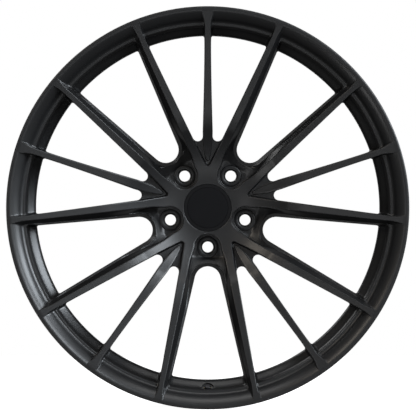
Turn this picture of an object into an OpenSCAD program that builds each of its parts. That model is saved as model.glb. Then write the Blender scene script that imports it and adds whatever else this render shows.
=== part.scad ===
// Forged one-piece racing wheel with its centre cap and its clamp-in tyre valve.
// The wheel's axis lies along Y, its outer face looks towards -Y, and the origin
// is the centre of the hub mounting face.

/* [Rim] */
// Diameter over the bead seats
seat_d = 538.2; // [538:0.1:538.4]
// Width between the two flanges
rim_w = 241.3; // [238:0.1:244]
// Height of each flange above its bead seat
flange_h = 17.3; // [17:0.1:17.5]
// Thickness of each flange
flange_t = 13; // [12.5:0.1:13.5]
// Distance of the hub mounting face ahead of the middle of the rim
offset_et = 35; // [33:1:37]
// Inner radius of the drop-centre well
well_r = 245.4; // [245:0.1:245.8]
// Wall thickness of the barrel
wall = 5.4; // [5.2:0.1:5.8]
// Depth of the front ledge behind the lip
ledge_drop = 14.5; // [14:0.1:15]

/* [Spokes] */
// Number of spoke groups, with three spokes in each
groups = 5; // [5:1:5]
// Half width of the middle spoke near the hub
mid_root_w = 7.3; // [7:0.1:7.6]
// Half width of the middle spoke near the rim
mid_tip_w = 4.6; // [4.4:0.1:4.9]
// Angle of an outer spoke's inner side off the group's axis
inner_side_a = 25.84; // [25.6:0.01:26]
// Distance of that side's line from the wheel's axis
inner_side_d = 24.4; // [24:0.1:24.8]
// Angle of an outer spoke's outer side off the group's axis
outer_side_a = 22.84; // [22.6:0.01:23]
// Distance of that side's line from the wheel's axis
outer_side_d = 4.77; // [4.5:0.01:5]
// Corner radius at the bottom of a narrow window
narrow_corner_r = 7.2; // [6.8:0.1:7.5]
// Corner radius at the bottom of a wide window
wide_corner_r = 18.6; // [18:0.1:19]
// Depth of the step on the outer side of an outer spoke
side_step = 14; // [12:0.5:15]

/* [Hub] */
// Bolt circle diameter
pcd = 112; // [112:0.1:112]
// Diameter of the lug holes
lug_d = 15; // [14.5:0.1:15.5]
// Thickness of metal under a lug seat
lug_seat_h = 18; // [16:0.5:19]
// Radius of the pocket wall round a lug seat
lug_pocket_r = 19.2; // [19:0.1:19.4]
// Diameter of the centre bore
bore_d = 66.6; // [66.5:0.1:66.7]
// Depth of the centre bore
bore_l = 12; // [10:0.5:14]
// Radius of the flat pad round the centre bore
pad_r = 78; // [76:0.5:80]
// Depth of the weight pockets in the back of the pad
pad_pocket_t = 16; // [12:1:18]
// Height of the hub's face at the edge of the centre cap
hub_h = 42.9; // [42:0.1:44]
// Radius at which the hub's dish meets the spokes
knuckle_r = 112.7; // [112:0.1:113.5]

/* [Centre cap] */
// Diameter of the cap's head
cap_d = 67.3; // [67:0.1:67.5]
// Thickness of the cap's head
cap_t = 4; // [3.5:0.1:4.5]
// Radius of the bore that the cap's legs snap into
cap_bore_r = 30.2; // [30:0.1:30.5]
// Diameter of the plain inlay disc
inlay_d = 58.4; // [57:0.1:59]
// Number of snap legs
leg_count = 6; // [4:1:8]

/* [Valve] */
// Tilt of the valve off the wheel's axis
valve_tilt = 38; // [37:0.5:39]
// Diameter of the valve hole
valve_hole_d = 11.5; // [11.3:0.1:11.7]
// Diameter of the flat seat sunk round the valve hole
valve_seat_d = 18; // [17.5:0.1:18.5]
// Depth of that seat below the ramp
valve_seat_t = 2.6; // [2.4:0.1:2.8]
// Radius of the valve cap
vcap_r = 4.75; // [4.6:0.05:4.9]

/* [Hidden] */
$fn = 96;
front_h = rim_w / 2 + flange_t - offset_et;
rear_h = -(rim_w / 2 + flange_t + offset_et);
seat_r = seat_d / 2;
flange_r = seat_r + flange_h;
lip_in_r = 281;
well_out_r = well_r + wall;
step = 360 / groups;
lug_r = pcd / 2;
pad_pocket_r0 = 43;
pad_pocket_r1 = 70;
deg5 = tan(5);

// Front face of the disc: a bowl-shaped dish inside the knuckle, spokes outside it
dish_rad = 183;
dish_a0 = 4.4;
dish_cr = cap_d / 2 + 0.45 - dish_rad * sin(dish_a0);
dish_ch = hub_h + dish_rad * cos(dish_a0);
function dish_h(r) = dish_ch - sqrt(dish_rad * dish_rad - pow(r - dish_cr, 2));
face_r1 = 140;
face_h1 = front_h - 23.2;
face_pts = [
    [lip_in_r, front_h], [245, front_h - 5.6], [face_r1, face_h1], [125, face_h1 - 3.7]
];
dish_pts = [for (i = [0:12]) let (r = knuckle_r + (cap_d / 2 + 0.45 - knuckle_r) * i / 12) [r, dish_h(r)]];

function arc(c, r, a0, a1, n = 6) =
    [for (i = [0:n]) c + r * [cos(a0 + (a1 - a0) * i / n), sin(a0 + (a1 - a0) * i / n)]];

// Point where two lines meet, each given by its normal's angle and its distance
function meet(a, d, b, e) =
    let (det = cos(a) * sin(b) - cos(b) * sin(a))
    [(d * sin(b) - e * sin(a)) / det, (e * cos(a) - d * cos(b)) / det];

// Sides of the narrow window: normals point into the window
mid_taper = atan((mid_root_w - mid_tip_w) / 140);
mid_n = mid_taper;
mid_d = mid_root_w * cos(mid_taper) + 100 * sin(mid_taper);
out_n = 180 - inner_side_a;
out_d = inner_side_d;
narrow_c = meet(mid_n, mid_d + narrow_corner_r, out_n, out_d + narrow_corner_r);
narrow_low = arc(narrow_c, narrow_corner_r, out_n - 180, mid_n - 180, 10);
narrow_top_l = meet(mid_n, mid_d, 90, 262);
narrow_top_r = meet(out_n, out_d, 90, 262);

// Sides of the wide window, in a frame turned half a step from the group
wide_a = step / 2 - outer_side_a;
wide_y = (wide_corner_r + outer_side_d) / sin(wide_a);
wide_low = arc([0, wide_y], wide_corner_r, -wide_a, wide_a - 180, 14);
function wide_side_x(y) = y * tan(wide_a) - outer_side_d / cos(wide_a);

// Bay floor from the lip's inner edge down into the well
scoop_rad = 29.8;
scoop_c = [lip_in_r + scoop_rad * sin(20), front_h - scoop_rad * cos(20)];
ledge_h = front_h - ledge_drop;
ramp_top = [257.2, front_h - 37.2];
ramp_low = [247.6, front_h - 44.7];
bay_floor = concat(
    [for (i = [0:6]) let (t = 20 + 40 * i / 6)
        [lip_in_r - scoop_rad * (sin(t) - sin(20)), front_h - scoop_rad * (cos(20) - cos(t))]],
    [[263.2, ledge_h], [260, ledge_h], [257.6, ramp_top[1] + 1.4], ramp_top, ramp_low],
    [[246, front_h - 46.2], [well_r, front_h - 48]]);

// Valve seat on the ramp
valve_r = 256.5;
valve_h = ramp_low[1] + (valve_r - ramp_low[0]) * tan(valve_tilt);
vseat_r = valve_r + valve_seat_t * sin(valve_tilt);
vseat_h = valve_h - valve_seat_t * cos(valve_tilt);
valve_wall = 4.2;

// Barrel and disc as one turned section, radius then height
tyre_side = concat(
    [[flange_r - 1.5, front_h], [flange_r, front_h - 1.5], [flange_r, front_h - 8]],
    arc([flange_r - 5, front_h - 8], 5, -15, -90, 5),
    arc([seat_r + 6.5, front_h - flange_t - 6.5], 6.5, 90, 180, 6),
    [[seat_r - 11.5 * deg5, front_h - 31], [seat_r - 0.1, front_h - 33], [seat_r - 1.5, front_h - 37]],
    [[well_out_r + 1.3, front_h - 49.8], [well_out_r, front_h - 52], [well_out_r, front_h - 87]],
    [[well_out_r + 1.5, front_h - 90], [262.8, front_h - 110], [263, rear_h + 46]],
    [[seat_r - 1.4, rear_h + 37], [seat_r - 0.1, rear_h + 34], [seat_r - 11.5 * deg5, rear_h + 31]],
    arc([seat_r + 6.5, rear_h + flange_t + 6.5], 6.5, 180, 270, 6),
    arc([flange_r - 5, rear_h + 8], 5, 90, 15, 5),
    [[flange_r, rear_h + 8], [flange_r, rear_h + 1.5], [flange_r - 1.5, rear_h]]);
air_side = [
    [277, rear_h], [264, rear_h + 13], [262, rear_h + 34], [257, rear_h + 46],
    [256.9, front_h - 112], [well_r + 1, front_h - 91], [well_r, front_h - 88]
];
disc_back = [
    [well_r, front_h - 58], [228, 50], [200, 50.5], [150, 43], [110, 26], [88, 8], [pad_r, 0]
];
hub_core = [
    [bore_d / 2 + 1, 0], [bore_d / 2, 1], [bore_d / 2, bore_l], [cap_bore_r, bore_l],
    [cap_bore_r, hub_h - cap_t], [cap_d / 2 + 0.45, hub_h - cap_t]
];
function backwards(v) = [for (i = [len(v) - 1:-1:0]) v[i]];
wheel_section = concat(tyre_side, air_side, disc_back, hub_core, backwards(dish_pts), backwards(face_pts));

// Puts a turned shape, built on +Z, on the wheel's axis with its front towards -Y
module on_axis() rotate([90, 0, 0]) children();

// Puts a part that is built on +Z with its seat at 0 on the valve's axis
module on_valve() on_axis() translate([0, -vseat_r, vseat_h]) rotate([-valve_tilt, 0, 0]) children();

module each_group(turn = 0) for (k = [0:groups - 1]) rotate(turn + k * step) children();

module tube(r_out, r_in, z0, z1) {
    translate([0, 0, z0]) difference() {
        cylinder(r = r_out, h = z1 - z0);
        translate([0, 0, -1]) cylinder(r = r_in, h = z1 - z0 + 2);
    }
}

// Window between the middle spoke and an outer spoke
module narrow_window() {
    intersection() {
        polygon(concat(narrow_low, [narrow_top_l, narrow_top_r]));
        circle(r = well_r);
    }
}

// Window between two groups, above a lug hole
module wide_window() {
    intersection() {
        polygon(concat(wide_low, [[-wide_side_x(262), 262], [wide_side_x(262), 262]]));
        circle(r = well_r);
    }
}

module windows() {
    each_group() for (m = [0, 1]) mirror([m, 0]) narrow_window();
    each_group(step / 2) wide_window();
}

// Outline of the milled bay in front of a narrow window, flared where the spokes meet the lip
module narrow_bay() {
    polygon([
        [4.9, 238], [4.5, 262], [4.8, 268], [5.8, 275], [7.3, 283], [99, 264.8], [97.8, 263],
        [94, 251], [82.2, 227.5]
    ]);
}

// Outline of the milled bay in front of a wide window
module wide_bay() {
    half = [[65.6, 277], [64.3, 270], [63.2, 261], [61.8, 256], [54.4, 256], [50, 238]];
    polygon(concat(half, [for (i = [len(half) - 1:-1:0]) [-half[i][0], half[i][1]]]));
}

module bays() {
    intersection() {
        linear_extrude(height = front_h + 5) {
            each_group() for (m = [0, 1]) mirror([m, 0]) narrow_bay();
            each_group(step / 2) wide_bay();
        }
        rotate_extrude() polygon(concat(bay_floor, [[236, front_h - 48], [236, front_h + 3], [lip_in_r, front_h + 3]]));
    }
}

// Stepped side of the outer spokes, running down into the lug pocket
module lug_pockets() {
    intersection() {
        linear_extrude(height = front_h + 5) each_group(step / 2) {
            polygon([
                [lug_pocket_r, lug_r], [25.9, 85], [28.2, 120.4], [61.8, 248.6],
                [-61.8, 248.6], [-28.2, 120.4], [-25.9, 85], [-lug_pocket_r, lug_r]
            ]);
            translate([0, lug_r]) circle(r = lug_pocket_r);
        }
        rotate_extrude() polygon([
            [30, lug_seat_h], [lug_r + 16, lug_seat_h], [86, 26], [112, 48],
            [face_r1, face_h1 - side_step], [245, front_h - 5.6 - side_step],
            [254, front_h - 5 - side_step], [254, front_h + 3], [30, front_h + 3]
        ]);
    }
}

// Channels round the root of each middle spoke
module root_channels() {
    intersection() {
        linear_extrude(height = front_h + 5) each_group() difference() {
            polygon([[-3, 61.2], [0, 59.5], [3, 61.2], [19.3, 92.4], [15.5, 99], [-15.5, 99], [-19.3, 92.4]]);
            polygon([[-1.6, 68.8], [0, 67.8], [1.6, 68.8], [5.4, 84], [6.6, 92], [7.2, 100], [-7.2, 100], [-6.6, 92], [-5.4, 84]]);
        }
        rotate_extrude() polygon([[55, 40], [70, 41.5], [100, 46], [100, front_h], [55, front_h]]);
    }
}

module lug_holes() {
    each_group(step / 2) translate([0, lug_r]) {
        translate([0, 0, -1]) cylinder(d = lug_d, h = lug_seat_h + 2);
        translate([0, 0, lug_seat_h - 2]) cylinder(d1 = lug_d, d2 = lug_d + 2.6, h = 2.2);
    }
}

// Shallow weight-saving pockets in the back of the pad, between the lug holes
module pad_pockets() {
    each_group() translate([0, 0, -1]) intersection() {
        tube(pad_pocket_r1, pad_pocket_r0, 0, pad_pocket_t + 1);
        linear_extrude(height = pad_pocket_t + 1)
            polygon([[0, 0], [-pad_r * tan(17), pad_r], [pad_r * tan(17), pad_r]]);
    }
}

module valve_hole() {
    translate([0, -vseat_r, vseat_h]) rotate([-valve_tilt, 0, 0]) {
        translate([0, 0, -valve_wall - 2]) cylinder(d = valve_hole_d, h = valve_wall + 4);
        cylinder(d = valve_seat_d, h = 9);
        translate([0, 0, -valve_wall - 6]) cylinder(d = valve_seat_d, h = 6);
    }
}

module turned_blank() rotate_extrude($fn = 180) polygon(wheel_section);

// The blank after each stage of milling, in the order that it is cut
module windowed_blank() difference() {
    turned_blank();
    translate([0, 0, -40]) linear_extrude(height = front_h + 60) windows();
}

module scooped_blank() difference() {
    windowed_blank();
    bays();
}

module pocketed_blank() difference() {
    scooped_blank();
    lug_pockets();
}

module channelled_blank() difference() {
    pocketed_blank();
    root_channels();
}

module drilled_blank() difference() {
    channelled_blank();
    lug_holes();
    pad_pockets();
}

// The wheel itself: lip, barrel, spokes and hub in one forging
module wheel_forging() color([0.13, 0.13, 0.14]) on_axis() difference() {
    drilled_blank();
    valve_hole();
}

cap_top = hub_h;
leg_r = cap_bore_r - 0.25;
leg_t = 1.8;
leg_l = 15;

// Cap's head with its skirt of snap legs
module cap_shell() {
    color([0.08, 0.08, 0.085]) on_axis() {
        difference() {
            translate([0, 0, cap_top - cap_t]) cylinder(d = cap_d, h = cap_t);
            translate([0, 0, cap_top - 1.4]) cylinder(d = inlay_d + 0.2, h = 2);
        }
        translate([0, 0, cap_top - cap_t - leg_l]) for (i = [0:leg_count - 1]) rotate(i * 360 / leg_count)
            snap_leg();
    }
}

// One snap leg: a slice of a ring with a bead at its foot
module snap_leg() {
    intersection() {
        rotate_extrude() polygon([
            [leg_r - 0.5 - leg_t, 0], [leg_r - 0.9, 0], [leg_r, 1.4], [leg_r, 2.6], [leg_r - 0.5, 3.4],
            [leg_r - 0.5, leg_l + 0.5], [leg_r - 0.5 - leg_t, leg_l + 0.5]
        ]);
        translate([0, -8, 0]) cube([40, 16, leg_l + 1]);
    }
}

// Steel ring that pushes the legs outwards
module cap_spring_ring() {
    color([0.72, 0.72, 0.74]) on_axis() translate([0, 0, cap_top - cap_t - leg_l + 3])
        rotate_extrude() translate([leg_r - 0.5 - leg_t - 0.9, 0]) circle(r = 0.9, $fn = 24);
}

module cap_adhesive_pad() {
    color([0.85, 0.85, 0.82]) on_axis() translate([0, 0, cap_top - 1.4])
        cylinder(d = inlay_d - 2, h = 0.4);
}

// Plain inlay disc on the front of the cap
module cap_inlay() {
    color([0.1, 0.1, 0.105]) on_axis() translate([0, 0, cap_top - 1]) cylinder(d = inlay_d, h = 0.8);
}

nut_z = 0.6;
nut_t = 2.2;
stem_r = 4.9;
tip_r = 3.85;
tip_top = 6.2;
core_r = 2.45;
head_z = -valve_wall - 3;

// Stem of the valve: head and tail inside the tyre, thread and tip outside
module valve_stem() {
    color([0.78, 0.66, 0.4]) on_valve() difference() {
        union() {
            translate([0, 0, head_z - 2.2]) cylinder(r = 8.2, h = 2.2);
            translate([0, 0, head_z - 12]) cylinder(r = 5, h = 10);
            translate([0, 0, head_z - 0.1]) cylinder(r = stem_r, h = nut_z + nut_t + 0.2 - head_z);
            cylinder(r = tip_r, h = tip_top);
        }
        translate([0, 0, head_z - 13]) cylinder(r = 1.9, h = 14);
        translate([0, 0, -10]) cylinder(r = core_r, h = 18);
    }
}

// Rubber grommet squeezed between the stem's head and the rim
module valve_grommet() {
    color([0.07, 0.07, 0.07]) on_valve() difference() {
        union() {
            translate([0, 0, head_z]) cylinder(r = 8.6, h = 3);
            translate([0, 0, -valve_wall - 0.1]) cylinder(d = valve_hole_d, h = valve_wall - 0.2);
        }
        translate([0, 0, head_z - 1]) cylinder(r = stem_r, h = 12);
    }
}

module valve_washer() color([0.75, 0.75, 0.76]) on_valve() tube(7.6, stem_r + 0.2, 0, nut_z);

module valve_nut() {
    color([0.16, 0.16, 0.17]) on_valve() difference() {
        translate([0, 0, nut_z]) cylinder(r = 7.2, h = nut_t, $fn = 6);
        translate([0, 0, nut_z - 1]) cylinder(r = stem_r, h = nut_t + 2);
    }
}

// Threaded plug that holds the valve core in the stem
module core_plug() color([0.8, 0.68, 0.42]) on_valve() tube(core_r, 0.95, 1.6, 5);

// Barrel of the core, between the plug and the cup seal
module core_barrel() {
    color([0.8, 0.68, 0.42]) on_valve() {
        tube(1.9, 1.5, -6, 1.2);
        tube(1.9, 0.95, 1.2, 1.6);
    }
}

module core_barrel_seal() color([0.75, 0.2, 0.15]) on_valve() tube(core_r, 1.9, -1.5, 0.8);

spring_wire = 0.16;
spring_coil = 1.18;
spring_z0 = -5.7;
spring_z1 = 0.9;
spring_turns = 7;

// Helical spring round the pin, swept ring by ring
module core_spring() {
    sides = 6;
    per_turn = 14;
    rings = spring_turns * per_turn;
    pts = [
        for (i = [0:rings]) for (s = [0:sides - 1])
            let (a = 360 * i / per_turn, b = 360 * s / sides, r = spring_coil + spring_wire * cos(b))
            [r * cos(a), r * sin(a), spring_z0 + (spring_z1 - spring_z0) * i / rings + spring_wire * sin(b)]
    ];
    walls = [
        for (i = [0:rings - 1]) for (s = [0:sides - 1])
            let (t = (s + 1) % sides, p = i * sides, q = p + sides)
            each [[p + s, q + s, q + t], [p + s, q + t, p + t]]
    ];
    ends = [
        for (s = [1:sides - 2]) each [[0, s, s + 1], [rings * sides, rings * sides + s + 1, rings * sides + s]]
    ];
    color([0.7, 0.7, 0.72]) on_valve() polyhedron(points = pts, faces = concat(walls, ends));
}

// Pin that opens the core when its tip is pressed
module core_pin() {
    color([0.82, 0.7, 0.45]) on_valve() {
        translate([0, 0, -8.6]) cylinder(r = 0.6, h = 14.3);
        translate([0, 0, -8.6]) cylinder(r = 1.75, h = 0.9);
    }
}

module core_cup_seal() color([0.1, 0.1, 0.1]) on_valve() tube(1.7, 0.6, -7.7, -6.05);

// Screw cap over the valve's tip, knurled round its skirt
module valve_cap_shell() {
    grips = 16;
    color([0.1, 0.1, 0.105]) on_valve() difference() {
        union() {
            translate([0, 0, 3.1]) cylinder(r = vcap_r, h = 3.6);
            translate([0, 0, 6.7]) cylinder(r1 = vcap_r, r2 = vcap_r - 0.7, h = 0.7);
        }
        translate([0, 0, 3]) cylinder(r = tip_r + 0.08, h = 3.75);
        for (i = [0:grips - 1]) rotate(i * 360 / grips) translate([vcap_r + 0.25, 0, 3])
            cylinder(r = 0.45, h = 3.2, $fn = 16);
    }
}

module valve_cap_liner() color([0.75, 0.2, 0.15]) on_valve() tube(tip_r - 0.1, 1.3, 6.3, 6.7);

wheel_forging();
cap_shell();
cap_spring_ring();
cap_adhesive_pad();
cap_inlay();
valve_stem();
valve_grommet();
valve_washer();
valve_nut();
core_plug();
core_barrel();
core_barrel_seal();
core_spring();
core_pin();
core_cup_seal();
valve_cap_shell();
valve_cap_liner();
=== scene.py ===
"""Forged racing wheel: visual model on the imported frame, with its finishes, studio and camera."""
import logging
import math
from dataclasses import dataclass, field
from enum import Enum
from typing import Any, Callable

import bmesh
import bpy
from mathutils import Matrix, Vector


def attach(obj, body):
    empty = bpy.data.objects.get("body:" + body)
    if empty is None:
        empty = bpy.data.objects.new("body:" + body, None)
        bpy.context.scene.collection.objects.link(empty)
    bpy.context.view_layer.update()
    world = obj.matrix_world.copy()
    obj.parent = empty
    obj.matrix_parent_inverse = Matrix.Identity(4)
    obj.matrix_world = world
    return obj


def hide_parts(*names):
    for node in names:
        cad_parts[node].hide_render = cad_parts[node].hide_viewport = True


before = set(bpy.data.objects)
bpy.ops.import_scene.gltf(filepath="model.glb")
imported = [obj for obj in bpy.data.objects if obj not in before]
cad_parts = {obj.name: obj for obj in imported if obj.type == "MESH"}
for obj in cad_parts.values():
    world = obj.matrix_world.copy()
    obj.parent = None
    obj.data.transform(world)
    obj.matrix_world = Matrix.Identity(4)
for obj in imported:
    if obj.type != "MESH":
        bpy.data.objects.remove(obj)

LOG = logging.getLogger("wheel")
MM = 0.001
SECTORS = 5
HALF_SECTOR = math.pi / SECTORS

# A point of the wheel is its radius, its angle off the spoke group's axis and its height in front of
# the hub's mounting face. A plane point is two of these, or x and y in plan, as its function says.
Plane = tuple[float, float]
Polar = tuple[float, float, float]
Rows = list[list[Polar]]
Height = Callable[[float], float]
Side = Callable[[float, float], float]


def mix(a: float, b: float, t: float) -> float:
    """Returns the value a share t of the way from a to b."""
    return a + (b - a) * t


def smooth(a: float, b: float, x: float) -> float:
    """Returns a soft step from 0 at a to 1 at b."""
    t = min(max((x - a) / (b - a), 0.0), 1.0)
    return t * t * (3 - 2 * t)


def through(points: list[Plane], x: float) -> float:
    """Reads a smooth curve through a few points.

    Args:
        points: Points of the curve as (x, y), in order of x.
        x: Where to read it. Outside the points the end value holds.

    Returns:
        The curve's y at x, by monotone cubic interpolation.
    """
    if x <= points[0][0]:
        return points[0][1]
    if x >= points[-1][0]:
        return points[-1][1]
    steps = [(b[1] - a[1]) / (b[0] - a[0]) for a, b in zip(points, points[1:])]
    slopes = [steps[0]]
    for a, b in zip(steps, steps[1:]):
        slopes.append(0.0 if a * b <= 0 else 2 * a * b / (a + b))
    slopes.append(steps[-1])
    i = max(k for k in range(len(steps)) if points[k][0] <= x)
    width = points[i + 1][0] - points[i][0]
    t = (x - points[i][0]) / width
    return (
        (2 * t**3 - 3 * t**2 + 1) * points[i][1]
        + (t**3 - 2 * t**2 + t) * width * slopes[i]
        + (3 * t**2 - 2 * t**3) * points[i + 1][1]
        + (t**3 - t**2) * width * slopes[i + 1]
    )


def spread(start: float, end: float, count: int) -> list[float]:
    """Returns count + 1 even values from start to end."""
    return [mix(start, end, k / count) for k in range(count + 1)]


def polar(x: float, y: float) -> Plane:
    """Returns the radius and the angle off the group's axis of x and y in plan."""
    return math.hypot(x, y), math.atan2(x, y)


def flat(r: float, a: float, *_: float) -> Plane:
    """Returns x and y in plan of a point."""
    return r * math.sin(a), r * math.cos(a)


def arc(centre: Plane, radius: float, start: float, end: float, count: int) -> list[Plane]:
    """Returns points along an arc between two angles in degrees."""
    turns = [math.radians(a) for a in spread(start, end, count)]
    return [(centre[0] + radius * math.cos(a), centre[1] + radius * math.sin(a)) for a in turns]


def between(p: tuple[float, ...], q: tuple[float, ...], t: float) -> tuple[float, ...]:
    """Returns the point a share t of the way from p to q."""
    return tuple(mix(a, b, t) for a, b in zip(p, q))


def across(first: list[Polar], second: list[Polar], cols: int) -> Rows:
    """Returns rows that run straight from each point of one line to its partner on another."""
    return [[between(p, q, t) for t in spread(0, 1, cols)] for p, q in zip(first, second)]


def along(first: list[Polar], last: list[Polar], steps: int) -> Rows:
    """Returns rows that turn one line into another in even steps."""
    return [[between(p, q, t) for p, q in zip(first, last)] for t in spread(0, 1, steps)]


def level(line: list[Any], h: float = 0.0) -> list[Polar]:
    """Returns a line's points at one height."""
    return [(p[0], p[1], h) for p in line]


def drape(line: list[Any], height: Height) -> list[Polar]:
    """Returns a line's points at the height of a surface."""
    return [(p[0], p[1], height(p[0])) for p in line]


def trace(radii: list[float], height: Height) -> list[Plane]:
    """Returns the radius and height of a surface at several radii."""
    return [(r, height(r)) for r in radii]


def column(rows: Rows, col: int = 0) -> list[Plane]:
    """Returns the radius and height of one point of each row."""
    return [(row[col][0], row[col][2]) for row in rows]


@dataclass
class RimSection:
    """Section of the rim: heights run forwards from the hub's mounting face, in millimetres."""

    front_h: float = 98.65
    rear_h: float = -168.65
    seat_r: float = 269.1
    seat_w: float = 11.5
    seat_taper: float = 5.0
    flange_r: float = 286.4
    lip_r: float = 281.0
    well_r: float = 245.4
    wall: float = 5.4
    scoop_r: float = 29.8
    scoop_from: float = 20.0
    scoop_to: float = 60.0
    scoop_steps: int = 7
    ledge_drop: float = 14.5
    ledge_out_r: float = 263.2
    ledge_in_r: float = 260.0
    well_drop: float = 48.0
    back_drop: float = 58.0

    def scoop(self, turn: float) -> Plane:
        """Places a point of the scoop behind the lip.

        Args:
            turn: Tilt of the scoop there, in degrees.

        Returns:
            The point's radius and height.
        """
        first, tilt = math.radians(self.scoop_from), math.radians(turn)
        return (
            self.lip_r - self.scoop_r * (math.sin(tilt) - math.sin(first)),
            self.front_h - self.scoop_r * (math.cos(first) - math.cos(tilt)),
        )

    def bay(self) -> list[Plane]:
        """Draws the floor of the bays between the spokes.

        Returns:
            Radius and height of each row, from the lip down the scoop, ledge, wall and ramp to the well.
        """
        top = self.front_h
        points = [self.scoop(turn) for turn in spread(self.scoop_from, self.scoop_to, self.scoop_steps)]
        points += [(self.ledge_out_r, top - self.ledge_drop), (self.ledge_in_r, top - self.ledge_drop)]
        points += [(mix(259.7, 257.7, t), mix(top - 15.3, top - 34.6, t)) for t in (0, 0.33, 0.66, 1)]
        points += [(257.3, top - 36.4), (256.2, top - 37.9), (252.4, top - 40.9), (248.6, top - 43.9)]
        return points + [(246.4, top - 45.8), (self.well_r, top - self.well_drop)]

    def bay_radii(self) -> list[float]:
        """Returns the radii of the bay's rows, from the well out to the lip."""
        return [point[0] for point in self.bay()[::-1]]

    def ledge_row(self) -> int:
        """Returns the number of the bay's row along the inner edge of the ledge."""
        return self.scoop_steps + 2

    def last_row(self) -> int:
        """Returns the number of the bay's row along the well."""
        return len(self.bay()) - 1

    def side(self, edge: tuple[float, ...], hump: tuple[float, ...]) -> list[Plane]:
        """Draws a flange and bead seat.

        Args:
            edge: Depths of the points down the flange's outside.
            hump: Depths of the five points from the seat's inner end over the hump.

        Returns:
            Radius and depth of each point, where depth runs in from the wheel's side.
        """
        r, s = self.flange_r, self.seat_r
        taper = self.seat_w * math.tan(math.radians(self.seat_taper))
        line = [(r - 0.5, 0.45)] + [(r, d) for d in edge]
        line += arc((r - 5, edge[-1]), 5, 15, 90, 5) + arc((s + 6.5, 19.5), 6.5, 270, 180, 6)
        return line + list(zip((s - taper, s - 0.5, s - 0.1, s - 0.6, s - 1.6), hump))

    def barrel(self) -> list[Plane]:
        """Draws the barrel.

        Returns:
            Radius and height of each point, from the lip round the tyre side and back inside to the well.
        """
        f, b, well, w = self.front_h, self.rear_h, self.well_r, self.well_r + self.wall
        line = [(283.2, f), (285.3, f)]
        line += [(r, f - d) for r, d in self.side((1.6, 4.5, 8), (31, 32.2, 33, 35, 37))]
        line += [(w + 1.7, f - 49.2), (w + 0.4, f - 50.8), (w, f - 52.6), (w, f - 87)]
        line += [(w + 0.4, f - 89), (w + 1.6, f - 91), (262.0, f - 109), (262.8, f - 111.5), (263, f - 115)]
        line += [(263, mix(f - 115, b + 46, 0.5)), (263, b + 46)]
        line += [(r, b + d) for r, d in self.side((1.6, 8), (31, 32.4, 34, 35.4, 37))[::-1]]
        line += [(self.flange_r - 1.6, b), (279, b), (277.2, b + 0.3), (276, b + 1.4), (265.2, b + 12.2)]
        line += [(264.2, b + 13.6), (263.9, b + 15.6), (262.2, b + 32), (261.6, b + 34.4), (257.4, b + 44.8)]
        line += [(257, b + 47.4), (257, mix(b + 47, f - 115, 0.5)), (256.9, f - 115), (256.4, f - 111.6)]
        line += [(well + 1, f - 91), (well + 0.1, f - 88), (well, f - 84), (well, f - 72), (well, f - 64)]
        return line + [(well, f - 60.5)]


@dataclass
class SpokePlan:
    """Plan of one spoke group about its middle spoke, in millimetres, with angles in degrees.

    A station is a distance along the line from the wheel's axis out along an outer spoke.
    """

    mid_base_w: float = 2.75
    mid_tip_w: float = 4.15
    inner_a: float = 25.84
    inner_d: float = 23.85
    axis_a: float = 24.34
    front_d: float = 9.83
    outer_a: float = 22.84
    outer_d: float = 4.77
    apex_r: float = 59.5
    fork: Plane = (19.3, 92.4)
    fork_s: float = 92.1
    free_r: float = 117.4
    narrow_r: float = 102.6
    narrow_c: Plane = (14.11, 102.45)
    narrow_end: Plane = (20.59, 99.31)
    wide_r: float = 100.02
    wide_c: float = 102.6
    lug_r: float = 56.06
    pocket_r: float = 19.2
    pocket_s: float = 58.8
    draft: float = 0.015
    window_draft: float = 0.055
    lip_half_w: float = 7.3
    lip_inner_a: float = 20.36
    lip_outer_a: float = 22.65

    def pocket_turns(self) -> list[float]:
        """Returns the turns in degrees of the rows round the lug pocket."""
        return spread(0, 75, 12) + spread(75, 90, 3)[1:]

    def stations(self) -> list[float]:
        """Returns the stations of the rows from the lug pocket to the fork of the spokes."""
        return spread(self.pocket_s, 82, 9)[1:] + [84, 86] + spread(86, self.fork_s, 3)[1:]

    def pocket_ring(self, radius: float, turn: float) -> Plane:
        """Places a point on a circle about the lug hole.

        Args:
            radius: The circle's radius.
            turn: Angle round it in degrees. 0 faces the wheel's axis.

        Returns:
            The point's radius and angle.
        """
        a, s, c = math.radians(turn), math.sin(HALF_SECTOR), math.cos(HALF_SECTOR)
        x = self.lug_r * s - radius * (math.cos(a) * s + math.sin(a) * c)
        y = self.lug_r * c - radius * (math.cos(a) * c - math.sin(a) * s)
        return polar(x, y)

    def beside_axis(self, s: float, n: float) -> Plane:
        """Returns radius and angle of the point at a station s and n to the side of an outer spoke's line."""
        a = math.radians(self.axis_a)
        return polar(s * math.sin(a) + n * math.cos(a), s * math.cos(a) - n * math.sin(a))


@dataclass
class HubPad:
    """Mounting pad at the back of the hub, with weight pockets between the lug holes."""

    edge_r: float = 78.0
    bore_r: float = 34.3
    pocket_in_r: float = 43.0
    pocket_out_r: float = 70.0
    pocket_a: float = math.radians(17)
    pocket_h: float = 16.0
    draft: float = 1.2
    taper: float = 0.965
    pocket_cols: int = 19
    land_cols: int = 9
    side_cols: int = 6

    def angles(self) -> list[float]:
        """Returns the angles of the points along the pad, over a weight pocket and then its land."""
        land = spread(self.pocket_a, HALF_SECTOR, self.land_cols)
        return spread(0, self.pocket_a, self.pocket_cols) + land[1:]


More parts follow.
